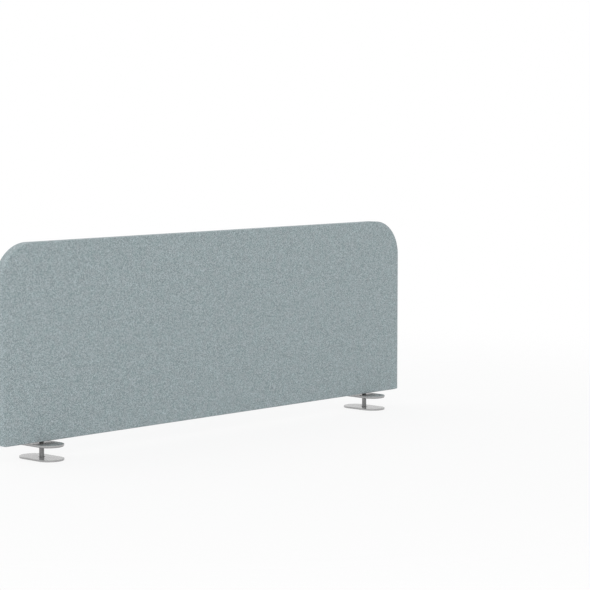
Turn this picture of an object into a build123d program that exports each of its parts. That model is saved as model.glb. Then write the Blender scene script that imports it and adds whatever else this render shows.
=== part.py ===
from build123d import *
import os

# Desk divider screen: an upholstered panel that two clamps hold upright on the edge of a desk.
# Millimetres. +X runs along the panel, the front of the panel faces -Y, and +Z is up. The origin
# is under the middle of the panel, on the surface that the lower clamp plates stand on.

# Panel
panel_width = 1200
panel_height = 400
panel_thickness = 25
corner_radius = 80

# Upholstery
fabric_thickness = 1
fabric_edge_radius = 0.8
padding_thickness = 2
end_flap_length = 14
flap_gap = 0.5
cover_strip_thickness = 1
cover_strip_side_inset = 2
cover_strip_end_inset = 5
cover_strip_corner_radius = 3

# Wooden frame and its filling
stile_width = 45
top_rail_height = 45
stiffener_width = 60
wood_over_bore = 10
infill_gap = 0.3
dowel_diameter = 8
dowel_length = 30
dowel_spacing = 20
dowel_clearance = 0.05

# Staples along the turned edges of the fabric
staple_crown = 10
staple_leg = 8
staple_wire = 0.7
staple_pitch = 55

# Threaded inserts and the wood screws that hold them
insert_sleeve_diameter = 14
insert_sleeve_length = 22
insert_flange_length = 60
insert_flange_width = 16
insert_flange_thickness = 2
insert_clearance = 0.1
wood_screw_spacing = 44
wood_screw_diameter = 4
wood_screw_head_diameter = 7
wood_screw_length = 25

# Clamp plates
clamp_inset = 106
plate_length = 108
plate_width = 58
plate_thickness = 4
plate_edge_radius = 0.6
desk_gap = 25
neck_gap = 4.3
pad_thickness = 1
pad_inset = 1.5

# Clamp screw, with the travel that it gives to the lower plate, and the thread that still stands
# above the insert with the plate at its lowest
screw_diameter = 10
screw_tip_chamfer = 1
screw_flange_diameter = 16
screw_flange_thickness = 1.9
screw_flange_recess = 0.3
hex_across_flats = 6
hex_depth = 6
plate_travel_up = 9
plate_travel_down = 1
thread_spare = 6.5
screw_tip_room = 1.5

# Retaining ring on the screw, let into the top of the lower plate
ring_outer_diameter = 14
ring_thickness = 0.7
ring_groove_depth = 0.5
ring_opening = 4

# Clearances
running_clearance = 0.05
axial_clearance = 0.05
ring_clearance = 0.15
screw_side_room = 1

# One overrun for every cut that goes right through a face
overrun = 1

# Heights, from the floor up
lower_plate_top = plate_thickness
upper_plate_bottom = lower_plate_top + desk_gap
upper_plate_top = upper_plate_bottom + plate_thickness
panel_bottom = upper_plate_top + neck_gap
panel_top = panel_bottom + panel_height
frame_bottom = panel_bottom + fabric_thickness
frame_top = panel_top - fabric_thickness
insert_top = frame_bottom + insert_sleeve_length
screw_top = insert_top + plate_travel_down + thread_spare
bore_top = screw_top + plate_travel_up + screw_tip_room
bottom_rail_top = bore_top + wood_over_bore
top_rail_bottom = frame_top - top_rail_height
corner_bottom = panel_top - corner_radius

# Distances from the middle of the panel, along X
clamp_x = panel_width / 2 - clamp_inset
frame_end = panel_width / 2 - fabric_thickness
opening_end = frame_end - stile_width
corner_start = panel_width / 2 - corner_radius

# Distances from the middle of the panel, along Y
panel_front = -panel_thickness / 2
fabric_back = panel_front + fabric_thickness
frame_front = fabric_back + padding_thickness
frame_thickness = -2 * frame_front
flap_end = -screw_diameter / 2 - flap_gap

frame_corner_radius = corner_radius - fabric_thickness
opening_corner_radius = frame_corner_radius - max(stile_width, top_rail_height)
staple_y = (fabric_back + flap_end) / 2
ON_BASE = (Align.CENTER, Align.CENTER, Align.MIN)


# A box between two corners
def block(x0, y0, z0, x1, y1, z1):
    middle = ((x0 + x1) / 2, (y0 + y1) / 2, (z0 + z1) / 2)
    return Pos(*middle) * Box(abs(x1 - x0), abs(y1 - y0), abs(z1 - z0))


# A round bar along Z, about the Z axis
def bar(diameter, bottom, top):
    return Pos(0, 0, bottom) * Cylinder(diameter / 2, top - bottom, align=ON_BASE)


# A drawing of width and height, with its two top corners rounded
def round_topped(left, bottom, right, top, radius):
    sheet = Pos((left + right) / 2, (bottom + top) / 2) * Rectangle(right - left, top - bottom)
    return fillet(sheet.vertices().group_by(Axis.Y)[-1], radius)


# A drawing stood upright, from its front face back
def slab(drawing, front, thickness):
    return extrude(Plane.XZ.offset(-front) * drawing, amount=-thickness)


# A plate with two half round ends, its length across the panel
def stadium(length, width, bottom, thickness):
    return Pos(0, 0, bottom) * extrude(SlotOverall(length, width, rotation=90), amount=thickness)


# Outline of the frame, one fabric thickness inside the panel's outline
def frame_outline():
    return round_topped(-frame_end, frame_bottom, frame_end, frame_top, frame_corner_radius)


# Opening inside the frame, drawn smaller by an inset all round
def frame_opening(inset):
    return round_topped(
        inset - opening_end,
        bottom_rail_top + inset,
        opening_end - inset,
        top_rail_bottom - inset,
        opening_corner_radius - inset,
    )


# One member of the frame, cut from the frame's thickness
def member(x0, z0, x1, z1):
    return block(x0, frame_front, z0, x1, frame_front + frame_thickness, z1)


# Where the dowels sit: upright ones across level joints, level ones across upright joints
def dowel_places():
    stile_middle = (opening_end + frame_end) / 2
    top_rail_middle = (top_rail_bottom + frame_top) / 2
    upright_joints = [
        (-stile_middle, bottom_rail_top),
        (stile_middle, bottom_rail_top),
        (0, bottom_rail_top),
        (0, top_rail_bottom),
        (-stile_middle, corner_bottom),
        (stile_middle, corner_bottom),
    ]
    places = []
    for side in (-1, 1):
        shift = side * dowel_spacing / 2
        places += [Pos(x + shift, 0, z) for x, z in upright_joints]
        for end in (-1, 1):
            places.append(Pos(end * corner_start, 0, top_rail_middle + shift) * Rot(0, 90, 0))
    return places


# The dowels, or with a clearance the holes that they sit in
def dowels(clearance=0):
    pin = Cylinder(dowel_diameter / 2 + clearance, dowel_length + 2 * clearance)
    return [place * pin for place in dowel_places()]


# Places of the two clamps
def clamp_places():
    return {"left": Pos(-clamp_x, 0, 0), "right": Pos(clamp_x, 0, 0)}


# Places of the wood screws, two beside each clamp screw
def wood_screw_places():
    steps = (-wood_screw_spacing / 2, wood_screw_spacing / 2)
    return [place * Pos(step, 0, 0) for place in clamp_places().values() for step in steps]


# A countersunk wood screw driven up from below, or with a clearance its hole
def wood_screw(clearance=0):
    radius = wood_screw_diameter / 2 + clearance
    head_radius = wood_screw_head_diameter / 2 + clearance
    head_height = head_radius - radius
    shank = bar(2 * radius, frame_bottom, frame_bottom + wood_screw_length + clearance)
    head = Pos(0, 0, frame_bottom) * Cone(head_radius, radius, head_height, align=ON_BASE)
    return shank + head


# One staple, its crown pressed flush into the fabric
def staple(crown_along_x):
    legs = []
    for side in (-1, 1):
        outer = side * staple_crown / 2
        inner = outer - side * staple_wire
        legs.append(block(outer, -staple_wire, 0, inner, staple_wire, staple_leg))
    crown = block(-staple_crown / 2, -staple_wire, 0, staple_crown / 2, staple_wire, staple_wire)
    whole = crown + legs
    return whole if crown_along_x else Rot(0, 0, 90) * whole


# All the staples: two long rows that leave the inserts free, and one staple at each end
def staples():
    last = panel_width / 2 - end_flap_length - staple_pitch / 2
    count = int(2 * last / staple_pitch)
    keep_off = (insert_flange_length + staple_crown) / 2 + staple_wire
    pieces = []
    for row in (staple_y, -staple_y):
        for step in range(count + 1):
            x = last * (2 * step / count - 1)
            if abs(abs(x) - clamp_x) > keep_off:
                pieces.append(Pos(x, row, panel_bottom) * staple(True))
    for end in (-1, 1):
        x = end * (panel_width - end_flap_length) / 2
        pieces.append(Pos(x, 0, panel_bottom) * staple(False))
    return pieces


# Sleeve and flange of a threaded insert, the thread drawn as a smooth bore
def threaded_insert(clearance=0):
    sleeve = bar(insert_sleeve_diameter + 2 * clearance, frame_bottom, insert_top + clearance)
    flange = Pos(0, 0, frame_bottom) * extrude(
        SlotOverall(insert_flange_length + 2 * clearance, insert_flange_width + 2 * clearance),
        amount=insert_flange_thickness + clearance,
    )
    return sleeve + flange


# Lower rail of the frame, bored for the inserts, the clamp screws, the wood screws and the staples
def make_bottom_rail():
    rail = member(-frame_end, frame_bottom, frame_end, bottom_rail_top)
    for place in clamp_places().values():
        rail -= place * threaded_insert(insert_clearance)
        rail -= place * bar(screw_diameter + 2 * screw_side_room, frame_bottom, bore_top)
    rail -= [place * wood_screw(running_clearance) for place in wood_screw_places()]
    return rail - staples() - dowels(dowel_clearance)


def make_top_rail():
    rail = member(-corner_start, top_rail_bottom, corner_start, frame_top)
    return rail - dowels(dowel_clearance)


def make_stile(side):
    stile = member(side * opening_end, bottom_rail_top, side * frame_end, corner_bottom)
    return stile - dowels(dowel_clearance)


# The corner is the part of the frame's ring beyond the straight rail and stile
def make_corner_block(side):
    ring = slab(frame_outline() - frame_opening(0), frame_front, frame_thickness)
    corner = member(side * corner_start, corner_bottom, side * frame_end, frame_top)
    return (ring & corner) - dowels(dowel_clearance)


def make_centre_stiffener():
    half = stiffener_width / 2
    return member(-half, bottom_rail_top, half, top_rail_bottom) - dowels(dowel_clearance)


# A board that fills one bay of the frame, a small gap all round
def make_infill_board(side):
    board = slab(frame_opening(infill_gap), frame_front, frame_thickness)
    inner = side * (stiffener_width / 2 + infill_gap)
    return board & member(inner, bottom_rail_top, side * opening_end, top_rail_bottom)


def make_front_padding():
    return slab(frame_outline(), fabric_back, padding_thickness)


# Face of the upholstery, with the edge that is turned under the bottom rail and stapled
def make_front_fabric():
    outline = round_topped(
        -panel_width / 2, panel_bottom, panel_width / 2, panel_top, corner_radius
    )
    face = slab(outline, panel_front, fabric_thickness)
    face = fillet(face.edges().group_by(Axis.Y)[0], fabric_edge_radius)
    flap_x = panel_width / 2 - end_flap_length - flap_gap
    flap = block(-flap_x, fabric_back, panel_bottom, flap_x, flap_end, frame_bottom)
    return face + flap - staples()


# Strip round the ends and the top, its two ends turned under the stiles
def make_edge_fabric():
    outer = round_topped(
        -panel_width / 2, panel_bottom, panel_width / 2, panel_top, corner_radius
    )
    inner = round_topped(
        -frame_end, panel_bottom - overrun, frame_end, frame_top, frame_corner_radius
    )
    strip = slab(outer - inner, fabric_back, -2 * fabric_back)
    for side in (-1, 1):
        end = side * panel_width / 2
        inside = end - side * end_flap_length
        strip += block(end, fabric_back, panel_bottom, inside, -fabric_back, frame_bottom)
    return strip - staples()


# Strip that covers the stapled edges, open round the clamp screws
def make_bottom_cover_strip():
    x = panel_width / 2 - cover_strip_end_inset
    y = panel_thickness / 2 - cover_strip_side_inset
    strip = block(-x, -y, panel_bottom - cover_strip_thickness, x, y, panel_bottom)
    strip = fillet(strip.edges().filter_by(Axis.Z), cover_strip_corner_radius)
    hole = bar(
        screw_diameter + 2 * screw_side_room,
        panel_bottom - cover_strip_thickness - overrun,
        panel_bottom + overrun,
    )
    return strip - [place * hole for place in clamp_places().values()]


def make_threaded_insert():
    bore = bar(screw_diameter + 2 * running_clearance, frame_bottom - overrun, insert_top + overrun)
    steps = (-wood_screw_spacing / 2, wood_screw_spacing / 2)
    screw_holes = [Pos(step, 0, 0) * wood_screw(running_clearance) for step in steps]
    return threaded_insert() - bore - screw_holes


# A clamp plate with softened edges, before its bores
def plate_blank(bottom):
    blank = stadium(plate_length, plate_width, bottom, plate_thickness)
    rims = blank.edges().group_by(Axis.Z)
    return fillet(rims[0] + rims[-1], plate_edge_radius)


# Upper plate, threaded on the clamp screw, the thread drawn as a smooth bore
def make_upper_plate():
    bore = bar(
        screw_diameter + 2 * running_clearance,
        upper_plate_bottom - overrun,
        upper_plate_top + overrun,
    )
    return plate_blank(upper_plate_bottom) - bore


def make_desk_pad():
    bottom = upper_plate_bottom - pad_thickness
    pad = stadium(plate_length - 2 * pad_inset, plate_width - 2 * pad_inset, bottom, pad_thickness)
    hole = bar(screw_diameter + 2 * screw_side_room, bottom - overrun, upper_plate_bottom + overrun)
    return pad - hole


# Lower plate, let in below for the screw's flange and above for the retaining ring
def make_lower_plate():
    flange_seat = screw_flange_recess + screw_flange_thickness + axial_clearance
    ring_seat = lower_plate_top - ring_thickness - 2 * axial_clearance
    bore = bar(screw_diameter + 2 * running_clearance, -overrun, lower_plate_top + overrun)
    flange_pocket = bar(screw_flange_diameter + 2 * ring_clearance, -overrun, flange_seat)
    ring_pocket = bar(ring_outer_diameter + 2 * ring_clearance, ring_seat, lower_plate_top + overrun)
    return plate_blank(0) - bore - flange_pocket - ring_pocket


# Screw with its flange at the foot, a hexagon socket in its end and a groove for the ring
def make_clamp_screw():
    foot = screw_flange_recess
    rod = chamfer(
        bar(screw_diameter, foot, screw_top).edges().group_by(Axis.Z)[-1], screw_tip_chamfer
    )
    flange = bar(screw_flange_diameter, foot, foot + screw_flange_thickness)
    socket = Pos(0, 0, foot) * extrude(
        RegularPolygon(hex_across_flats / 2, 6, major_radius=False), amount=hex_depth
    )
    groove_top = lower_plate_top
    groove_bottom = groove_top - ring_thickness - 2 * axial_clearance
    groove = bar(screw_diameter + overrun, groove_bottom, groove_top)
    groove -= bar(screw_diameter - 2 * ring_groove_depth, groove_bottom, groove_top)
    return rod + flange - socket - groove


# Open ring that snaps into the screw's groove
def make_retaining_ring():
    top = lower_plate_top - axial_clearance
    bottom = top - ring_thickness
    inner_diameter = screw_diameter - 2 * ring_groove_depth + 2 * running_clearance
    ring = bar(ring_outer_diameter, bottom, top) - bar(inner_diameter, bottom, top)
    half = ring_opening / 2
    return ring - block(0, -half, bottom, ring_outer_diameter, half, top)


# The same piece turned to the back of the panel
def turned_to_back(piece):
    return Rot(0, 0, 180) * piece


# Every node of the panel
def panel_nodes():
    front_padding = make_front_padding()
    front_fabric = make_front_fabric()
    return {
        "bottom_rail": make_bottom_rail(),
        "top_rail": make_top_rail(),
        "left_stile": make_stile(-1),
        "right_stile": make_stile(1),
        "left_corner_block": make_corner_block(-1),
        "right_corner_block": make_corner_block(1),
        "centre_stiffener": make_centre_stiffener(),
        "frame_dowels": Compound(dowels()),
        "left_infill_board": make_infill_board(-1),
        "right_infill_board": make_infill_board(1),
        "front_padding": front_padding,
        "back_padding": turned_to_back(front_padding),
        "front_fabric": front_fabric,
        "back_fabric": turned_to_back(front_fabric),
        "edge_fabric": make_edge_fabric(),
        "fabric_staples": Compound(staples()),
        "bottom_cover_strip": make_bottom_cover_strip(),
        "insert_wood_screws": Compound([place * wood_screw() for place in wood_screw_places()]),
    }


# Every node of the two clamps
def clamp_nodes():
    pieces = {
        "threaded_insert": make_threaded_insert(),
        "upper_plate": make_upper_plate(),
        "desk_pad": make_desk_pad(),
        "lower_plate": make_lower_plate(),
        "clamp_screw": make_clamp_screw(),
        "retaining_ring": make_retaining_ring(),
    }
    return {
        f"{side}_{name}": place * piece
        for side, place in clamp_places().items()
        for name, piece in pieces.items()
    }


os.makedirs("parts", exist_ok=True)
for node, shape in {**panel_nodes(), **clamp_nodes()}.items():
    export_step(shape, f"parts/{node}.step")
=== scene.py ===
import math

import bmesh
import bpy
import numpy as np
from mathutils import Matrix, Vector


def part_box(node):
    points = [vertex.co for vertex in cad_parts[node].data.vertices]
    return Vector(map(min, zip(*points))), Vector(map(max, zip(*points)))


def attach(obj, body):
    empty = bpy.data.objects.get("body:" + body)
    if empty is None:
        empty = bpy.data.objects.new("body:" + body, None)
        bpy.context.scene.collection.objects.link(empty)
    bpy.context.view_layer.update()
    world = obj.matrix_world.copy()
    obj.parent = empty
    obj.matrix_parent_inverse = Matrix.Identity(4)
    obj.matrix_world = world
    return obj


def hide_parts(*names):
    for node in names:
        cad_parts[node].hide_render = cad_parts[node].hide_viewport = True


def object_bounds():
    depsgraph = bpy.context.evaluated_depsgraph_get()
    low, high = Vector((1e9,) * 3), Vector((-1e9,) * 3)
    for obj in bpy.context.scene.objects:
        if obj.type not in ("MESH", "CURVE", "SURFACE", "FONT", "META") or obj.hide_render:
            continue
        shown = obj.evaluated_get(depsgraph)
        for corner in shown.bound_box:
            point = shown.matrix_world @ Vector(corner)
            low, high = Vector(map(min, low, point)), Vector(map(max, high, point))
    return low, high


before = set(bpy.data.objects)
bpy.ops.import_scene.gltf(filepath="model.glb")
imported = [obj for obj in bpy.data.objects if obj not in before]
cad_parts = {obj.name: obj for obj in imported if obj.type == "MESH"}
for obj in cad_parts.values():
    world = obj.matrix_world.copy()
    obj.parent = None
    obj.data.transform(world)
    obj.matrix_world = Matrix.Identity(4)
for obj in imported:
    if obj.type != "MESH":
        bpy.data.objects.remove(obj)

# Desk divider screen: an upholstered panel held upright by two clamps. Everything is in metres, in
# the row frame: +X runs along the panel, its front faces -Y, and +Z is up from the floor.
cad_low, cad_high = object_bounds()
MM = 0.001

# Camera
camera_place = (-3.28782, -3.28216, 0.70954)
camera_yaw = math.radians(47.19)
camera_pitch = math.radians(5.062)
camera_lens = 131.274
camera_sensor = 36.0

# Floor, which fades out into the white backdrop
floor_radius = 3.0
floor_fade_start = 0.9
floor_fade_end = 2.4
floor_rings = 48
floor_spokes = 96

# How far towards white the floor is lifted, to the camera and in reflections
floor_lift = 0.85

# Light: two soft lamps. The fill is so large that the metal mirrors it little brighter than the
# backdrop
world_light = 0.8
key_place = (-4.5, -4.1, 4.0)
key_size = 7.0
key_power = 170
fill_place = (-0.6, 4.6, 3.4)
fill_size = 9.0
fill_power = 95

# Cloth: a thick weave that is rolled over the panel's edges and dips into the seams
cloth_thickness = 0.95 * MM
roll_radius = 1.0 * MM
seam_dip_radius = 0.35 * MM
seam_depth = 0.9 * MM
fold_radius = 1.2 * MM
band_side_radius = 0.45 * MM
flap_lift = 0.3 * MM
flap_lift_run = 2 * MM
flap_end_inset = 14.5 * MM
flap_taper = 6.5 * MM
band_overlap = 0.5 * MM
clearance = 0.05 * MM
cloth_step = 6.0 * MM

# Swell of the wadding: each wave's radians a metre along the panel and up it, and its start
swell_height = 0.12 * MM
swell_waves = [(23, 11, 0), (-17, 41, 1.3), (67, 0, 2.1)]

# Points on the curves of the soft pieces
quarter_points = 7
inside_points = 5
wadding_rim_points = 9
band_side_points = 6
band_face_points = 11
band_fold_points = 7
band_corner_points = 25
band_end_steps = 2
lining_rings = 5
lining_side_points = 13

# Yarn floats: each crossing is one pitch wide. A thick yarn's crossings are about 1 mm apart and its
# fibres 0.03 mm thick, and both are drawn coarser than that, so that they show
float_pitch = 1.3 * MM
float_height = 0.4 * MM
yarn_wander = 1.1 * MM
wander_run = 5 * float_pitch
slope_along = 1.0
slope_across = 3.6
fibre_width = 0.12 * MM
fibre_draw = 0.15
fibre_relief = 0.6
yarn_twist = math.radians(25)
tone_scatter = 0.15
dye_patch = 18 * MM
dye_share = 0.3

# Painted light and shade of a float: its colour is lightened on its crown and darkened down to the
# gap beside it, where shade falls
crown_relief = 0.1
gap_relief = 1.6
crown_painted_light = 1.18
gap_painted_shade = 0.68

# Most values of a noise texture lie between these
noise_low = 0.3
noise_high = 0.7

# Patterns of felt, wood, metal and rubber. A share says how much of one pattern is added to another
tufts_per_cloud = 12
tuft_flatness = 3
felt_cloud_share = 0.4
grain_draw = 0.025
pores_per_ring = 8
pore_share = 0.25
fuzz_depth = 0.2 * MM
metal_cloud = 9 * MM
metal_cloud_share = 0.4
line_depth = 0.05 * MM
gloss_below = 0.05
gloss_above = 0.07
stipple_spacing = 1.2 * MM
stipple_depth = 0.15 * MM
stipple_share = 0.6
dust_patch = 14 * MM

# Clamp screw: a metric thread of 10 mm, rolled down to a plain shank
shank_radius = 5 * MM
groove_depth = 0.5 * MM
flange_thickness = 1.9 * MM
thread_pitch = 1.5 * MM
thread_depth = 0.92 * MM
thread_rows_per_turn = 12
thread_crest = 1.6
thread_runout = 3 * MM
thread_start_above_pad = 1 * MM
screw_tip_chamfer = 1 * MM
socket_across_flats = 6 * MM
socket_mouth_radius = 4.1 * MM
socket_depth = 6 * MM
screw_steps = 48
screw_sharp_angle = math.radians(50)
softened_edge = 0.25 * MM
lining_hole_radius = 6 * MM


def colour(hex_code):
    """Colours are written in sRGB hex, as they should look, and are turned linear here."""
    channels = np.array([int(hex_code[i:i + 2], 16) / 255 for i in (1, 3, 5)])
    linear = np.where(channels <= 0.04045, channels / 12.92, ((channels + 0.055) / 1.055) ** 2.4)
    return (*linear.tolist(), 1.0)


def add_node(tree, kind, inputs=None, **settings):
    """Adds a node with its settings. Each input is a value, or the output that feeds it."""
    made = tree.nodes.new(kind)
    for name, value in settings.items():
        setattr(made, name, value)
    for name, value in (inputs or {}).items():
        if isinstance(value, bpy.types.NodeSocket):
            tree.links.new(value, made.inputs[name])
        else:
            made.inputs[name].default_value = value
    return made


def new_material(name, **shader):
    """A material whose shader has these constant values on its own sockets."""
    material = bpy.data.materials.new(name)
    material.use_nodes = True
    tree = material.node_tree
    surface = tree.nodes["Principled BSDF"]
    for socket, value in shader.items():
        surface.inputs[socket.replace("_", " ")].default_value = value
    return material, tree, surface


# Camera at the photograph's place, looking along the yaw and down by the pitch
camera_data = bpy.data.cameras.new("photo_camera")
camera_data.lens = camera_lens
camera_data.sensor_width = camera_sensor
camera = bpy.data.objects.new("photo_camera", camera_data)
camera.location = camera_place
camera.rotation_euler = (math.pi / 2 - camera_pitch, 0, -camera_yaw)
bpy.context.scene.collection.objects.link(camera)
bpy.context.scene.camera = camera
bpy.context.scene.view_settings.view_transform = "Standard"


def aim_lamp(name, place, size, power):
    """A square soft lamp that faces the middle of the panel."""
    data = bpy.data.lights.new(name, "AREA")
    data.size = size
    data.energy = power
    lamp = bpy.data.objects.new(name, data)
    middle = (cad_low + cad_high) / 2
    lamp.location = place
    lamp.rotation_euler = (middle - lamp.location).to_track_quat("-Z", "Y").to_euler()
    bpy.context.scene.collection.objects.link(lamp)


aim_lamp("key_softbox", key_place, key_size, key_power)
aim_lamp("fill_softbox", fill_place, fill_size, fill_power)


def seen_directly(tree, hidden, shown):
    """One value for light that goes to surfaces, and another for what the camera sees, directly or
    by reflection or through glass."""
    path = add_node(tree, "ShaderNodeLightPath")
    mirrored = add_node(
        tree, "ShaderNodeMath",
        {0: path.outputs["Is Glossy Ray"], 1: path.outputs["Is Transmission Ray"]},
        operation="MAXIMUM",
    )
    seen = add_node(
        tree, "ShaderNodeMath",
        {0: path.outputs["Is Camera Ray"], 1: mirrored.outputs[0]}, operation="MAXIMUM",
    )
    level = add_node(
        tree, "ShaderNodeMapRange", {"Value": seen.outputs[0], "To Min": hidden, "To Max": shown}
    )
    return level.outputs["Result"]


def make_world():
    """The backdrop is white to the camera and in reflections, and lights the object more gently."""
    world = bpy.data.worlds.new("white_studio")
    world.use_nodes = True
    tree = world.node_tree
    backdrop = tree.nodes["Background"]
    backdrop.inputs["Color"].default_value = (1, 1, 1, 1)
    tree.links.new(seen_directly(tree, world_light, 1.0), backdrop.inputs["Strength"])
    bpy.context.scene.world = world


make_world()


def quads_between(rows, closed):
    """Quads between neighbouring rows of vertex numbers; closed joins each row's end to its start."""
    nearer, further = rows[:-1], rows[1:]
    if closed:
        corners = (nearer, further, np.roll(further, -1, 1), np.roll(nearer, -1, 1))
    else:
        corners = (nearer[:, :-1], further[:, :-1], further[:, 1:], nearer[:, 1:])
    return np.stack(corners, -1).reshape(-1, 4)


def make_piece(name, points, faces, uv=None, sharp=None):
    """A smooth shaded mesh from an array of points and lists of faces. uv gives it a flat cloth map,
    and sharp an angle past which its edges stay sharp."""
    mesh = bpy.data.meshes.new(name)
    mesh.from_pydata(points.reshape(-1, 3).tolist(), [], [f for group in faces for f in group])
    mesh.polygons.foreach_set("use_smooth", np.ones(len(mesh.polygons), bool))
    if uv is not None:
        corner_points = np.zeros(len(mesh.loops), np.int32)
        mesh.loops.foreach_get("vertex_index", corner_points)
        layer = mesh.uv_layers.new(name="cloth")
        layer.uv.foreach_set("vector", uv[corner_points].astype(np.float32).ravel())
    if sharp is not None:
        mesh.set_sharp_from_angle(angle=sharp)
    mesh.update()
    piece = bpy.data.objects.new(name, mesh)
    bpy.context.scene.collection.objects.link(piece)
    return piece


def make_floor():
    """A flat disc of rings and spokes about the origin: each ring's radius times the turn's cosine
    and sine. It fades out towards its rim."""
    ring = np.linspace(0, floor_radius, floor_rings + 1)[1:, None]
    turn = np.linspace(0, 2 * math.pi, floor_spokes, endpoint=False)[None]
    level = np.zeros((floor_rings, floor_spokes))
    rings = np.stack([ring * np.cos(turn), ring * np.sin(turn), level], -1)
    points = np.vstack([np.zeros((1, 3)), rings.reshape(-1, 3)])
    numbers = 1 + np.arange(floor_rings * floor_spokes).reshape(floor_rings, floor_spokes)
    hub = np.stack([np.zeros_like(numbers[0]), numbers[0], np.roll(numbers[0], -1)], -1)
    floor = make_piece("floor", points, [hub.tolist(), quads_between(numbers, True).tolist()])
    material, tree, surface = new_material(
        "matt_white_floor", Roughness=0.85, Base_Color=colour("#E4E4E4")
    )
    place = add_node(tree, "ShaderNodeTexCoord")
    distance = add_node(
        tree, "ShaderNodeVectorMath", {0: place.outputs["Object"]}, operation="LENGTH"
    )
    fade = add_node(
        tree, "ShaderNodeMapRange",
        {"Value": distance.outputs["Value"], "From Min": floor_fade_start,
         "From Max": floor_fade_end},
        interpolation_type="SMOOTHSTEP",
    )
    white = add_node(tree, "ShaderNodeEmission", {"Color": (1, 1, 1, 1), "Strength": 1.0})
    lifted = add_node(
        tree, "ShaderNodeMixShader",
        {0: seen_directly(tree, 0.0, floor_lift), 1: surface.outputs["BSDF"],
         2: white.outputs["Emission"]},
    )
    clear = add_node(tree, "ShaderNodeBsdfTransparent")
    mix = add_node(
        tree, "ShaderNodeMixShader",
        {0: fade.outputs["Result"], 1: lifted.outputs[0], 2: clear.outputs["BSDF"]},
    )
    tree.links.new(mix.outputs[0], tree.nodes["Material Output"].inputs["Surface"])
    floor.data.materials.append(material)


make_floor()

# Sizes read from the frame
panel_low, panel_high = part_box("front_fabric")
wadding_low, wadding_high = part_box("front_padding")
half_width = panel_high.x
panel_bottom = panel_low.z
panel_top = panel_high.z
face_depth = -panel_low.y
flap_end_depth = -panel_high.y
corner_radius = panel_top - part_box("left_corner_block")[0].z
band_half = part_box("edge_fabric")[1].y
top_steps = int(2 * (half_width - corner_radius) / cloth_step)
side_steps = int((panel_top - panel_bottom - corner_radius) / cloth_step)


# Outline: base points on the panel's edge and their outward directions, corner by corner. An
# inset curve is the base points less the inset times the directions.
def corner_arc(centre, radius, start, turn, count):
    """Points of a round corner, the centre plus the radius times each direction, and the
    directions."""
    angle = start + np.linspace(0, turn, count)
    outward = np.stack([np.cos(angle), np.sin(angle)], -1)
    return np.array(centre) + radius * outward, outward


def straight_run(start, end, outward, count):
    """Points between two ends, which are left out, each a blend of the two by its share."""
    share = np.linspace(0, 1, count + 2)[1:-1, None]
    points = np.array(start) * (1 - share) + np.array(end) * share
    return points, np.broadcast_to(outward, points.shape)


def closed_outline(inset, fold_steps=3, arc_steps=12):
    """The whole outline, anticlockwise from the front, in four sections that meet at the middles of
    the corners: the bottom, the right, the top and the left. Gives points, directions and section
    ends."""
    right, low, high = half_width - inset, panel_bottom + inset, panel_top - inset
    fold, upper = fold_radius, corner_radius - inset
    eighth = math.pi / 4
    corners = [
        ((fold - right, low + fold), fold, math.pi, fold_steps),
        ((right - fold, low + fold), fold, 1.5 * math.pi, fold_steps),
        ((right - upper, high - upper), upper, 0.0, arc_steps),
        ((upper - right, high - upper), upper, 0.5 * math.pi, arc_steps),
    ]
    spare = 2 * (arc_steps - fold_steps)
    run_steps = [top_steps + spare, side_steps, top_steps, side_steps]
    points, outwards, ends = [], [], [0]
    for number, (centre, radius, start, steps) in enumerate(corners):
        next_centre, next_radius, next_start, next_steps = corners[(number + 1) % 4]
        leave = corner_arc(centre, radius, start + eighth, eighth, steps)
        enter = corner_arc(next_centre, next_radius, next_start, eighth, next_steps + 1)
        run = straight_run(leave[0][-1], enter[0][0], leave[1][-1], run_steps[number])
        points += [leave[0], run[0], enter[0][:-1]]
        outwards += [leave[1], run[1], enter[1][:-1]]
        ends.append(ends[-1] + steps + run_steps[number] + next_steps)
    return np.vstack(points), np.vstack(outwards), ends


def filled_grid(loop, ends):
    """Coons patch: each point is the blend of the two side edges, plus the blend of the bottom and
    the top edges, less the blend of the four corners."""
    around = np.vstack([loop, loop[:1]])
    low, right, high, left = [around[ends[k]:ends[k + 1] + 1] for k in range(4)]
    high, left = high[::-1], left[::-1]
    s = np.linspace(0, 1, len(low))[:, None, None]
    t = np.linspace(0, 1, len(left))[None, :, None]
    sides = (1 - s) * left[None] + s * right[None]
    levels = (1 - t) * low[:, None] + t * high[:, None]
    corners = (1 - s) * ((1 - t) * low[0] + t * high[0]) + s * ((1 - t) * low[-1] + t * high[-1])
    return sides + levels - corners


def rim_of(grid):
    """The numbers round a grid's rim, in the outline's order."""
    return np.concatenate([grid[:-1, 0], grid[-1, :-1], grid[:0:-1, -1], grid[0, :0:-1]])


def swell(points):
    """Faint unevenness of wadding under cloth: the mean of a few slow sine waves, from -1 to 1."""
    x, z = points[..., 0], points[..., 1]
    waves = [np.sin(along * x + up * z + start) for along, up, start in swell_waves]
    return np.mean(waves, axis=0)


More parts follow.
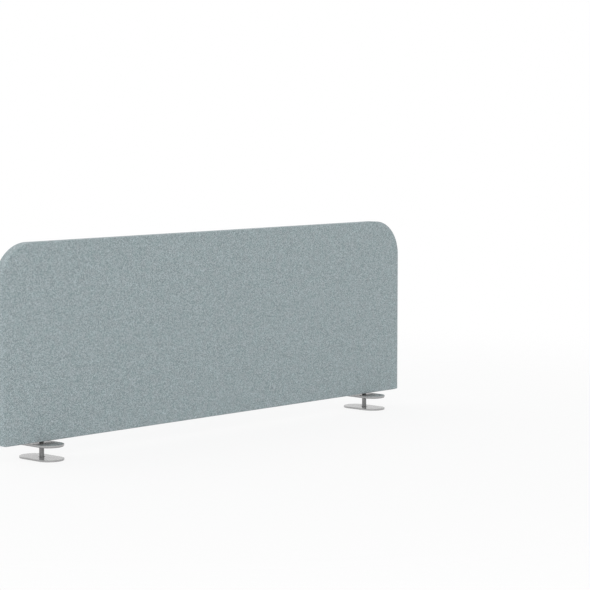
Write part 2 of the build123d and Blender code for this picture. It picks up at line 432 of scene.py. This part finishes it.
def closed_shell(inset, profile, grid_inset):
    """A thin closed shell over the panel's outline: a front grid, rim rows that follow a profile of
    inset and depth at each point of the outline, and a back grid. profile gives both as arrays of
    rim row by outline point, from the front grid's edge to the back grid's edge. A rim point is its
    outline point less the inset times its direction, and the map keeps the length of the profile."""
    loop, outward, ends = closed_outline(inset)
    insets, depths = profile(loop, outward)
    front = filled_grid(loop - grid_inset * outward, ends)
    count = front.shape[0] * front.shape[1]
    edge = np.minimum(
        np.minimum(front[..., 0] + half_width, half_width - front[..., 0]),
        np.minimum(front[..., 1] - panel_bottom, panel_top - front[..., 1]),
    )
    # The swell starts half a run in from the edge, and is whole one run further
    fade_run = 2 * roll_radius + cloth_step
    fade = np.clip(edge / fade_run - 0.5, 0, 1)
    front_depth = depths[0].mean() + swell_height * fade * (1 - swell(front)) / 2
    rim = loop[None] - insets[1:-1, :, None] * outward[None]
    steps = np.hypot(np.diff(insets, axis=0), np.diff(depths, axis=0))
    run = np.cumsum(steps, 0)[:-1, :, None]
    rim_map = loop[None] - grid_inset * outward[None] + run * outward[None]
    flat = np.vstack([front.reshape(-1, 2), rim.reshape(-1, 2), front.reshape(-1, 2)])
    depth = np.concatenate([
        front_depth.ravel(), depths[1:-1].ravel(), np.full(count, depths[-1].mean())
    ])
    points = np.stack([flat[:, 0], depth - face_depth, flat[:, 1]], -1)
    uv = np.vstack([front.reshape(-1, 2), rim_map.reshape(-1, 2), front.reshape(-1, 2)])
    front_numbers = np.arange(count).reshape(front.shape[:2])
    rim_numbers = count + np.arange(rim[..., 0].size).reshape(rim.shape[:2])
    back_numbers = count + rim_numbers.size + front_numbers
    rows = np.vstack([rim_of(front_numbers)[None], rim_numbers, rim_of(back_numbers)[None]])
    faces = [
        quads_between(front_numbers, False).tolist(),
        quads_between(rows, True).tolist(),
        quads_between(back_numbers, False)[:, ::-1].tolist(),
    ]
    return points, faces, uv


def cover_profile(loop, outward):
    """Rim of a face cloth: a quarter roll over the edge, then a dip into the seam, and along the
    bottom instead a flap that lies under the frame. The rim comes back along the cloth's inside."""
    quarter = np.linspace(0, math.pi / 2, quarter_points)
    roll = np.stack([roll_radius * (1 - np.sin(quarter)), roll_radius * (1 - np.cos(quarter))])
    dip = np.stack([
        seam_dip_radius * (1 - np.cos(quarter[1:])),
        roll_radius + seam_dip_radius * np.sin(quarter[1:]),
    ])
    seam_end = (seam_depth, roll_radius + seam_dip_radius)
    back = np.stack([
        np.linspace(seam_end[0], roll_radius, inside_points),
        np.linspace(seam_end[1], cloth_thickness, inside_points),
    ])
    seam = np.hstack([roll, dip, back])
    flap_depth = face_depth - flap_end_depth
    under = np.linspace(roll_radius, flap_depth, dip.shape[1] + 1)[1:]
    lift = flap_lift * np.clip((under - roll_radius) / flap_lift_run, 0, 1)
    inside = np.stack([
        np.linspace(cloth_thickness, roll_radius, inside_points),
        np.linspace(flap_depth, cloth_thickness, inside_points),
    ])
    flap = np.hstack([roll, np.stack([lift, under]), inside])
    reach = (half_width - flap_end_inset - np.abs(loop[:, 0])) / flap_taper
    faces_down = outward[:, 1] < -0.999
    share = np.clip(reach, 0, 1) * faces_down
    rim = seam[:, :, None] * (1 - share) + flap[:, :, None] * share
    return rim[0], rim[1]


def make_face_cloth(name, node, turned):
    """The cloth of one face. The back's is the front's, turned half way round the upright axis."""
    points, faces, uv = closed_shell(0, cover_profile, roll_radius)
    if turned:
        points = points * [-1, -1, 1]
    cloth = make_piece(name, points, faces, uv)
    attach(cloth, "panel")
    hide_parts(node)
    return cloth


def wadding_profile(loop, outward):
    """Rim of the wadding: a half round from its front to its back."""
    thickness = wadding_high.y - wadding_low.y
    half_turn = np.linspace(0, math.pi, wadding_rim_points)
    inset = thickness / 2 * (1 - np.sin(half_turn))
    depth = face_depth + wadding_low.y + thickness / 2 * (1 - np.cos(half_turn))
    wide = np.ones(len(loop))
    return inset[:, None] * wide, depth[:, None] * wide


def make_wadding(name, node, turned):
    """The soft layer between one face cloth and the frame."""
    inset = half_width - wadding_high.x
    radius = (wadding_high.y - wadding_low.y) / 2
    points, faces, uv = closed_shell(inset, wadding_profile, radius)
    if turned:
        points = points * [-1, -1, 1]
    wadding = make_piece(name, points, faces, uv)
    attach(wadding, "panel")
    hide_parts(node)
    return wadding


def make_edge_band():
    """A strip carried along the outline, from one turned under end, up over the top and down to the
    other. Its section is flat outside, rounded down into the seams at both sides, and closed."""
    quarter = math.pi / 2
    fold_x, fold_z = half_width - fold_radius, panel_bottom + fold_radius
    arc_x, arc_z = half_width - corner_radius, panel_top - corner_radius
    end_x = half_width - flap_end_inset + band_overlap
    down = (0.0, -1.0)
    stops = [
        (np.array([(-end_x, panel_bottom)]), np.array([down])),
        corner_arc((-fold_x, fold_z), fold_radius, -quarter, -quarter, band_fold_points),
        corner_arc((-arc_x, arc_z), corner_radius, math.pi, -quarter, band_corner_points),
        corner_arc((arc_x, arc_z), corner_radius, quarter, -quarter, band_corner_points),
        corner_arc((fold_x, fold_z), fold_radius, 0, -quarter, band_fold_points),
        (np.array([(end_x, panel_bottom)]), np.array([down])),
    ]
    runs = [
        (down, band_end_steps), ((-1.0, 0.0), side_steps), ((0.0, 1.0), top_steps),
        ((1.0, 0.0), side_steps), (down, band_end_steps),
    ]
    stretches = [stops[0]]
    for stop, next_stop, (facing, steps) in zip(stops, stops[1:], runs):
        stretches.append(straight_run(stop[0][-1], next_stop[0][0], facing, steps))
        stretches.append(next_stop)
    base = np.vstack([places for places, facings in stretches])
    outward = np.vstack([facings for places, facings in stretches])
    seam_y = band_half - seam_dip_radius - clearance
    angle = np.linspace(0, quarter, band_side_points)
    side_y = seam_y - band_side_radius * (1 - np.cos(angle))
    side_inset = band_side_radius * (1 - np.sin(angle))
    flat_y = np.linspace(-side_y[-1], side_y[-1], band_face_points)
    section_y = np.concatenate([
        [-seam_y], -side_y, flat_y[1:-1], side_y[::-1], [seam_y], flat_y[::-1]
    ])
    section_inset = np.concatenate([
        [seam_depth], side_inset, np.zeros_like(flat_y[1:-1]), side_inset[::-1], [seam_depth],
        np.full_like(flat_y, cloth_thickness),
    ])
    flat = base[:, None] - section_inset[None, :, None] * outward[:, None]
    y = np.broadcast_to(section_y, flat.shape[:2])
    points = np.stack([flat[..., 0], y, flat[..., 1]], -1)
    path_run = np.concatenate([[0], np.cumsum(np.hypot(*np.diff(base, axis=0).T))])
    section_run = np.concatenate([
        [0], np.cumsum(np.hypot(np.diff(section_y), np.diff(section_inset)))
    ])
    uv = np.stack(np.broadcast_arrays(section_run[None], path_run[:, None]), -1).reshape(-1, 2)
    numbers = np.arange(y.size).reshape(y.shape)
    faces = [
        quads_between(numbers, True).tolist(),
        [numbers[0].tolist(), numbers[-1, ::-1].tolist()],
    ]
    band = make_piece("edge_band", points, faces, uv)
    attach(band, "panel")
    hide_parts("edge_fabric")
    return band


front_cloth = make_face_cloth("front_cloth", "front_fabric", False)
back_cloth = make_face_cloth("back_cloth", "back_fabric", True)
edge_band = make_edge_band()
front_wadding = make_wadding("front_wadding", "front_padding", False)
back_wadding = make_wadding("back_wadding", "back_padding", True)


def screw_centre(side):
    """The place of a clamp screw's axis along the panel."""
    low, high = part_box(f"{side}_clamp_screw")
    return (low.x + high.x) / 2


def make_clamp_screw(side):
    """Rows of points round the screw's axis, from the middle of the socket's floor out over the
    flange, up the shank and the thread to the middle of the tip. The thread's radius is a wave of
    height less turn, so its ridges climb one pitch a turn: the hyperbolic tangent of thread_crest
    times a cosine, which flattens the crests and roots a little."""
    node = f"{side}_clamp_screw"
    low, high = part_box(node)
    groove_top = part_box(f"{side}_lower_plate")[1].z
    groove_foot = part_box(f"{side}_retaining_ring")[0].z - clearance
    flange = (high.x - low.x) / 2
    flange_top = low.z + flange_thickness
    radius, groove = shank_radius, shank_radius - groove_depth
    foot, tip = low.z, high.z
    soft = softened_edge
    turn = np.linspace(0, 2 * math.pi, screw_steps, endpoint=False)
    sixth = math.pi / 3
    flat_angle = (turn + sixth / 2) % sixth - sixth / 2
    hexagon = socket_across_flats / 2 / np.cos(flat_angle)
    socket_floor = foot + socket_depth
    round_rows = [
        (socket_mouth_radius, foot), (flange - soft, foot), (flange, foot + soft),
        (flange, flange_top - soft), (flange - soft, flange_top), (radius, flange_top),
        (radius, groove_foot), (groove, groove_foot), (groove, groove_top), (radius, groove_top),
    ]
    thread_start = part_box(f"{side}_desk_pad")[0].z + thread_start_above_pad
    rows = int((tip - thread_start) / thread_pitch * thread_rows_per_turn)
    height = np.linspace(thread_start, tip, rows + 1)[:, None]
    phase = 2 * math.pi * height / thread_pitch - turn[None]
    ridge = 0.5 + 0.5 * np.tanh(thread_crest * np.cos(phase)) / np.tanh(thread_crest)
    fade = np.clip((height - thread_start) / thread_runout, 0, 1)
    cut = thread_depth * fade * (1 - ridge)
    cone = radius - np.clip(height - (tip - screw_tip_chamfer), 0, None)
    thread = np.minimum(radius - cut, cone)
    around = np.ones_like(turn)
    ring_radius, ring_height = np.array(round_rows).T[:, :, None] * around
    radii = np.vstack([hexagon, hexagon, ring_radius, thread])
    heights = np.vstack([
        socket_floor * around, (foot + soft) * around, ring_height, height * around
    ])
    centre = screw_centre(side)
    body = np.stack([centre + radii * np.cos(turn), radii * np.sin(turn), heights], -1)
    poles = np.array([[centre, 0, socket_floor], [centre, 0, tip]])
    points = np.vstack([poles, body.reshape(-1, 3)])
    numbers = 2 + np.arange(radii.size).reshape(radii.shape)
    first, last = numbers[0], numbers[-1]
    caps = [
        np.stack([np.zeros_like(first), first, np.roll(first, -1)], -1)[:, ::-1].tolist(),
        np.stack([np.ones_like(last), last, np.roll(last, -1)], -1).tolist(),
    ]
    faces = [quads_between(numbers, True)[:, ::-1].tolist(), *caps]
    screw = make_piece(f"{side}_threaded_screw", points, faces, sharp=screw_sharp_angle)
    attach(screw, f"{side}_screw")
    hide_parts(node)
    return screw


screws = [make_clamp_screw(side) for side in ("left", "right")]


def make_underlining():
    """The strip that hides the stapled edges: flat stretches, and round each clamp screw rings that
    run from a circle out to a square. A point on a ring is the blend of the two by its share."""
    low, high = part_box("bottom_cover_strip")
    half = high.y
    edge = np.linspace(-1, 1, lining_side_points)
    ones = np.ones_like(edge)
    sides = [(-edge, ones), (-ones, -edge), (edge, -ones), (ones, edge)]
    square = half * np.vstack([np.stack(side, -1)[:-1] for side in sides])
    steps = len(square)
    turn = np.linspace(0, 2 * math.pi, steps, endpoint=False) + math.pi / 4
    circle = lining_hole_radius * np.stack([np.cos(turn), np.sin(turn)], -1)
    share = np.linspace(0, 1, lining_rings)[:, None, None]
    patch = circle[None] * (1 - share) + square[None] * share
    points, faces, start = [], [], 0
    centres = [screw_centre("left"), screw_centre("right")]
    for centre in centres:
        numbers = start + np.arange(lining_rings * steps).reshape(lining_rings, steps)
        points.append((patch + [centre, 0]).reshape(-1, 2))
        faces.append(quads_between(numbers, True)[:, ::-1].tolist())
        start += numbers.size
    stops = [low.x]
    for centre in centres:
        stops += [centre - half, centre + half]
    stops.append(high.x)
    for left, right in zip(stops[::2], stops[1::2]):
        columns = max(3, int((right - left) / (2 * cloth_step)))
        x, y = np.meshgrid(np.linspace(left, right, columns), half * edge, indexing="ij")
        numbers = start + np.arange(x.size).reshape(x.shape)
        points.append(np.stack([x, y], -1).reshape(-1, 2))
        faces.append(quads_between(numbers, False)[:, ::-1].tolist())
        start += numbers.size
    flat = np.vstack(points)
    placed = np.column_stack([flat, np.full(len(flat), low.z + clearance)])
    strip = make_piece("underlining", placed, faces, flat)
    welded = bmesh.new()
    welded.from_mesh(strip.data)
    bmesh.ops.remove_doubles(welded, verts=welded.verts, dist=clearance / 10)
    welded.to_mesh(strip.data)
    welded.free()
    thick = strip.modifiers.new("thickness", "SOLIDIFY")
    thick.thickness = high.z - low.z - 2 * clearance
    thick.offset = -1
    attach(strip, "panel")
    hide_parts("bottom_cover_strip")
    return strip


underlining = make_underlining()


def crepe_cloth():
    """Wool crepe: thick yarn in an irregular interlacing, where each crossing shows either a warp or
    a weft float. The eye gets a matt, nubbly blue-grey, each float a little paler or darker than the
    next, in slow patches of greener and pinker grey. Painted light on each float's crown and painted
    shading down into the gaps between floats are multiplied into the colour."""
    material, tree, surface = new_material(
        "woven_wool_crepe", Roughness=0.92, Sheen_Weight=0.15, Sheen_Roughness=0.6,
        Specular_IOR_Level=0.2,
    )
    cloth = add_node(tree, "ShaderNodeUVMap", uv_map="cloth")
    wander = add_node(
        tree, "ShaderNodeTexNoise",
        {"Vector": cloth.outputs["UV"], "Scale": 1 / wander_run, "Detail": 1.0},
        noise_dimensions="2D",
    )
    bent = add_node(
        tree, "ShaderNodeVectorMath",
        {0: wander.outputs["Color"], 1: (yarn_wander,) * 3, 2: cloth.outputs["UV"]},
        operation="MULTIPLY_ADD",
    )
    counted = add_node(
        tree, "ShaderNodeVectorMath", {0: bent.outputs[0], "Scale": 1 / float_pitch},
        operation="SCALE",
    )
    crossing = add_node(tree, "ShaderNodeVectorMath", {0: counted.outputs[0]}, operation="FLOOR")
    within = add_node(tree, "ShaderNodeVectorMath", {0: counted.outputs[0]}, operation="FRACTION")
    centred = add_node(
        tree, "ShaderNodeVectorMath", {0: within.outputs[0], 1: (0.5, 0.5, 0.0)},
        operation="SUBTRACT",
    )
    squared = add_node(
        tree, "ShaderNodeVectorMath", {0: centred.outputs[0], 1: centred.outputs[0]},
        operation="MULTIPLY",
    )
    chance = add_node(
        tree, "ShaderNodeTexWhiteNoise", {"Vector": crossing.outputs[0]}, noise_dimensions="2D"
    )
    warp_up = add_node(
        tree, "ShaderNodeMath", {0: chance.outputs["Value"], 1: 0.5}, operation="GREATER_THAN"
    )
    # Each float has a tone of its own, and the warp is a little paler than the weft
    float_tone = add_node(
        tree, "ShaderNodeTexWhiteNoise", {"Vector": crossing.outputs[0]}, noise_dimensions="3D"
    )
    mixed_tone = add_node(
        tree, "ShaderNodeMath",
        {0: chance.outputs["Value"], 1: tone_scatter, 2: float_tone.outputs["Value"]},
        operation="MULTIPLY_ADD",
    )
    # A float falls away steeply across its yarn and gently along it
    slopes = add_node(
        tree, "ShaderNodeMix",
        {0: warp_up.outputs[0], 4: (slope_along, slope_across, 0.0),
         5: (slope_across, slope_along, 0.0)},
        data_type="VECTOR",
    )
    fall = add_node(
        tree, "ShaderNodeVectorMath", {0: squared.outputs[0], 1: slopes.outputs[1]},
        operation="DOT_PRODUCT",
    )
    # Fibres are drawn out along their yarn, and lean by its twist
    leaning = add_node(
        tree, "ShaderNodeMapping", {"Vector": bent.outputs[0], "Rotation": (0, 0, yarn_twist)}
    )
    fibre_shape = add_node(
        tree, "ShaderNodeMix",
        {0: warp_up.outputs[0], 4: (fibre_draw, 1.0, 1.0), 5: (1.0, fibre_draw, 1.0)},
        data_type="VECTOR",
    )
    fibre_place = add_node(
        tree, "ShaderNodeVectorMath", {0: leaning.outputs["Vector"], 1: fibre_shape.outputs[1]},
        operation="MULTIPLY",
    )
    fibres = add_node(
        tree, "ShaderNodeTexNoise",
        {"Vector": fibre_place.outputs[0], "Scale": 1 / fibre_width, "Detail": 2.0,
         "Roughness": 0.7},
        noise_dimensions="2D",
    )
    hair = add_node(
        tree, "ShaderNodeMapRange",
        {"Value": fibres.outputs["Fac"], "From Min": noise_low, "From Max": noise_high},
    )
    relief = add_node(
        tree, "ShaderNodeMath",
        {0: hair.outputs["Result"], 1: fibre_relief, 2: fall.outputs["Value"]},
        operation="MULTIPLY_ADD",
    )
    # Painted shade: the colour is made lighter on a float's crown and darker down into the gaps
    # between floats and in the grooves between fibres
    shade = add_node(
        tree, "ShaderNodeMapRange",
        {"Value": relief.outputs[0], "From Min": crown_relief, "From Max": gap_relief,
         "To Min": crown_painted_light, "To Max": gap_painted_shade},
    )
    tone = add_node(tree, "ShaderNodeValToRGB", {"Fac": mixed_tone.outputs[0]})
    ramp = tone.color_ramp.elements
    ramp[0].position, ramp[0].color = 0.0, colour("#738182")
    ramp[1].position, ramp[1].color = 1.0, colour("#C8D5D9")
    middle = ramp.new(0.55)
    middle.color = colour("#97A6A9")
    patches = add_node(
        tree, "ShaderNodeTexNoise",
        {"Vector": cloth.outputs["UV"], "Scale": 1 / dye_patch, "Detail": 3.0, "Roughness": 0.6},
        noise_dimensions="2D",
    )
    dye = add_node(tree, "ShaderNodeValToRGB", {"Fac": patches.outputs["Fac"]})
    tints = dye.color_ramp.elements
    tints[0].position, tints[0].color = 0.32, colour("#90A3A5")
    tints[1].position, tints[1].color = 0.68, colour("#9AA0A4")
    tinted = add_node(
        tree, "ShaderNodeMix", {0: dye_share, 6: tone.outputs["Color"], 7: dye.outputs["Color"]},
        data_type="RGBA",
    )
    # The tinted colour is multiplied by the painted shade
    shaded = add_node(
        tree, "ShaderNodeVectorMath",
        {0: tinted.outputs[2], 1: shade.outputs["Result"]}, operation="MULTIPLY",
    )
    tree.links.new(shaded.outputs["Vector"], surface.inputs["Base Color"])
    height = add_node(tree, "ShaderNodeMath", {0: 1.0, 1: relief.outputs[0]}, operation="SUBTRACT")
    bump = add_node(
        tree, "ShaderNodeBump",
        {"Height": height.outputs[0], "Strength": 0.7, "Distance": float_height},
    )
    tree.links.new(bump.outputs["Normal"], surface.inputs["Normal"])
    return material


def fibre_felt(name, base, fleck, spacing):
    """Loose fibres pressed into a sheet: matt, with a cloudy tone and short darker flecks. A fibre
    is too fine to show, so spacing is that of its tufts."""
    material, tree, surface = new_material(name, Roughness=0.95, Specular_IOR_Level=0.2)
    place = add_node(tree, "ShaderNodeTexCoord")
    clouds = add_node(
        tree, "ShaderNodeTexNoise",
        {"Vector": place.outputs["Object"], "Scale": 1 / (tufts_per_cloud * spacing),
         "Detail": 4.0},
    )
    fibres = add_node(
        tree, "ShaderNodeTexNoise",
        {"Vector": place.outputs["Object"], "Scale": 1 / spacing, "Detail": 6.0,
         "Roughness": 0.7, "Distortion": 1.5},
    )
    blend = add_node(
        tree, "ShaderNodeMath",
        {0: clouds.outputs["Fac"], 1: felt_cloud_share, 2: fibres.outputs["Fac"]},
        operation="MULTIPLY_ADD",
    )
    tone = add_node(tree, "ShaderNodeValToRGB", {"Fac": blend.outputs[0]})
    ramp = tone.color_ramp.elements
    ramp[0].position, ramp[0].color = 0.5, colour(fleck)
    ramp[1].position, ramp[1].color = 0.85, colour(base)
    tree.links.new(tone.outputs["Color"], surface.inputs["Base Color"])
    bump = add_node(
        tree, "ShaderNodeBump",
        {"Height": fibres.outputs["Fac"], "Strength": 0.5, "Distance": spacing / tuft_flatness},
    )
    tree.links.new(bump.outputs["Normal"], surface.inputs["Normal"])
    return material


def worked_wood(name, early, late, along, ring):
    """Planed or turned wood: pale early wood between narrow darker lines of late wood, one ring
    apart and drawn out along the grain, with a fine fuzz from the tool. The pores are drawn coarser
    than real ones, so that they show."""
    material, tree, surface = new_material(name, Roughness=0.7, Specular_IOR_Level=0.3)
    place = add_node(tree, "ShaderNodeTexCoord")
    stretch = [grain_draw if axis == along else 1.0 for axis in range(3)]
    drawn = add_node(
        tree, "ShaderNodeMapping", {"Vector": place.outputs["Object"], "Scale": stretch}
    )
    rings = add_node(
        tree, "ShaderNodeTexNoise",
        {"Vector": drawn.outputs["Vector"], "Scale": 1 / ring, "Detail": 3.0, "Distortion": 0.6},
    )
    pores = add_node(
        tree, "ShaderNodeTexNoise",
        {"Vector": drawn.outputs["Vector"], "Scale": pores_per_ring / ring, "Detail": 2.0},
    )
    grain = add_node(
        tree, "ShaderNodeMath",
        {0: pores.outputs["Fac"], 1: pore_share, 2: rings.outputs["Fac"]},
        operation="MULTIPLY_ADD",
    )
    tone = add_node(tree, "ShaderNodeValToRGB", {"Fac": grain.outputs[0]})
    ramp = tone.color_ramp.elements
    ramp[0].position, ramp[0].color = 0.45, colour(late)
    ramp[1].position, ramp[1].color = 0.75, colour(early)
    tree.links.new(tone.outputs["Color"], surface.inputs["Base Color"])
    bump = add_node(
        tree, "ShaderNodeBump",
        {"Height": grain.outputs[0], "Strength": 0.3, "Distance": fuzz_depth},
    )
    tree.links.new(bump.outputs["Normal"], surface.inputs["Normal"])
    return material


def worked_metal(name, tone_hex, dull_hex, roughness, line, streak=(1, 1, 1), metallic=1.0):
    """Steel with a worked surface: fine marks, drawn out to lines along an axis by a streak under 1,
    slow patches that are a little duller, and a shine that the marks soften. Real marks are a tenth
    of a millimetre wide or less, so line is coarser, for them to show. A blasted or turned surface
    scatters a share of the light like a matt one, and its metallic is less than 1 by that share."""
    material, tree, surface = new_material(name, Metallic=metallic)
    place = add_node(tree, "ShaderNodeTexCoord")
    drawn = add_node(
        tree, "ShaderNodeMapping", {"Vector": place.outputs["Object"], "Scale": streak}
    )
    lines = add_node(
        tree, "ShaderNodeTexNoise",
        {"Vector": drawn.outputs["Vector"], "Scale": 1 / line, "Detail": 3.0, "Roughness": 0.6},
    )
    clouds = add_node(
        tree, "ShaderNodeTexNoise",
        {"Vector": place.outputs["Object"], "Scale": 1 / metal_cloud, "Detail": 3.0},
    )
    both = add_node(
        tree, "ShaderNodeMath",
        {0: clouds.outputs["Fac"], 1: metal_cloud_share, 2: lines.outputs["Fac"]},
        operation="MULTIPLY_ADD",
    )
    worn = add_node(
        tree, "ShaderNodeMapRange",
        {"Value": both.outputs[0], "From Min": 0.45, "From Max": 0.95},
    )
    tone = add_node(tree, "ShaderNodeValToRGB", {"Fac": worn.outputs["Result"]})
    ramp = tone.color_ramp.elements
    ramp[0].position, ramp[0].color = 0.0, colour(dull_hex)
    ramp[1].position, ramp[1].color = 1.0, colour(tone_hex)
    tree.links.new(tone.outputs["Color"], surface.inputs["Base Color"])
    gloss = add_node(
        tree, "ShaderNodeMapRange",
        {"Value": lines.outputs["Fac"], "From Min": noise_low, "From Max": noise_high,
         "To Min": roughness - gloss_below, "To Max": roughness + gloss_above},
    )
    tree.links.new(gloss.outputs["Result"], surface.inputs["Roughness"])
    bump = add_node(
        tree, "ShaderNodeBump",
        {"Height": lines.outputs["Fac"], "Strength": 0.12, "Distance": line_depth},
    )
    tree.links.new(bump.outputs["Normal"], surface.inputs["Normal"])
    return material


def moulded_rubber():
    """Moulded rubber with a sprayed mould's fine stipple: matt mid grey, slightly dusty. The stipple
    is drawn coarser than a real one, so that it shows."""
    material, tree, surface = new_material(
        "moulded_grey_rubber", Roughness=0.75, Specular_IOR_Level=0.35
    )
    place = add_node(tree, "ShaderNodeTexCoord")
    stipple = add_node(
        tree, "ShaderNodeTexVoronoi",
        {"Vector": place.outputs["Object"], "Scale": 1 / stipple_spacing},
    )
    dust = add_node(
        tree, "ShaderNodeTexNoise",
        {"Vector": place.outputs["Object"], "Scale": 1 / dust_patch, "Detail": 4.0},
    )
    spots = add_node(
        tree, "ShaderNodeMath",
        {0: stipple.outputs["Distance"], 1: stipple_share, 2: dust.outputs["Fac"]},
        operation="MULTIPLY_ADD",
    )
    tone = add_node(
        tree, "ShaderNodeMix",
        {0: spots.outputs[0], 6: colour("#66676A"), 7: colour("#8B8C8F")}, data_type="RGBA",
    )
    tree.links.new(tone.outputs[2], surface.inputs["Base Color"])
    bump = add_node(
        tree, "ShaderNodeBump",
        {"Height": stipple.outputs["Distance"], "Strength": 0.4, "Distance": stipple_depth},
    )
    tree.links.new(bump.outputs["Normal"], surface.inputs["Normal"])
    return material


ALONG_X, ALONG_Z = 0, 2
pine_tones = ("#DCC7A0", "#C6A274")
crepe = crepe_cloth()
wadding_felt = fibre_felt("needled_polyester_wadding", "#E9E8E3", "#CFCDC6", spacing=1.6 * MM)
board_felt = fibre_felt("pressed_fibre_board", "#B9AE9C", "#93876F", spacing=2.4 * MM)
lining_felt = fibre_felt("spunbonded_lining", "#C0C6C7", "#A3AAAC", spacing=1.4 * MM)
pine_rails = worked_wood("planed_pine_along_rails", *pine_tones, ALONG_X, ring=5 * MM)
pine_stiles = worked_wood("planed_pine_along_stiles", *pine_tones, ALONG_Z, ring=5 * MM)
beech = worked_wood("turned_beech_dowel", "#D8B48C", "#B98B62", ALONG_X, ring=3 * MM)

# Chromed over a fine blast: pale, with a soft sheen and faint lines along the plate
satin_steel = worked_metal(
    "satin_chromed_steel", "#B1B1B1", "#A2A2A2", roughness=0.2, line=0.6 * MM,
    streak=(1.0, 0.04, 1.0), metallic=0.65,
)
# Turned and left bright: darker, with faint rings round the post
turned_steel = worked_metal(
    "turned_bright_steel", "#8D8D8D", "#7F7F7F", roughness=0.34, line=1.2 * MM,
    streak=(0.2, 0.2, 3.0), metallic=0.85,
)
# Zinc plated: bluish and softly mottled
zinc = worked_metal("zinc_plated_steel", "#B9BEC4", "#A0A6AE", roughness=0.35, line=2.5 * MM)
# Drawn and galvanised: pale grey and duller
wire = worked_metal("galvanised_wire", "#B4B8BC", "#9DA1A6", roughness=0.4, line=1.5 * MM)
# Phosphated spring steel: dark grey and dull
spring_steel = worked_metal(
    "phosphated_spring_steel", "#5A5957", "#4A4A4A", roughness=0.45, line=1.5 * MM
)
rubber = moulded_rubber()

# Pieces made here, by material
made_pieces = {
    crepe: [front_cloth, back_cloth, edge_band],
    wadding_felt: [front_wadding, back_wadding],
    lining_felt: [underlining],
    turned_steel: screws,
}
for material, pieces in made_pieces.items():
    for piece in pieces:
        piece.data.materials.append(material)


def both_sides(piece):
    """A piece's two nodes, on the left and on the right."""
    return [f"left_{piece}", f"right_{piece}"]


# CAD nodes that keep their own mesh, by material
kept_nodes = {
    pine_rails: ["bottom_rail", "top_rail", *both_sides("corner_block")],
    pine_stiles: ["centre_stiffener", *both_sides("stile")],
    board_felt: both_sides("infill_board"),
    beech: ["frame_dowels"],
    wire: ["fabric_staples", "insert_wood_screws"],
    zinc: both_sides("threaded_insert"),
    satin_steel: [*both_sides("upper_plate"), *both_sides("lower_plate")],
    spring_steel: both_sides("retaining_ring"),
    rubber: both_sides("desk_pad"),
}
for material, names in kept_nodes.items():
    for name in names:
        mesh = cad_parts[name].data
        if not mesh.materials:
            mesh.materials.append(material)
        for number in range(len(mesh.materials)):
            mesh.materials[number] = material
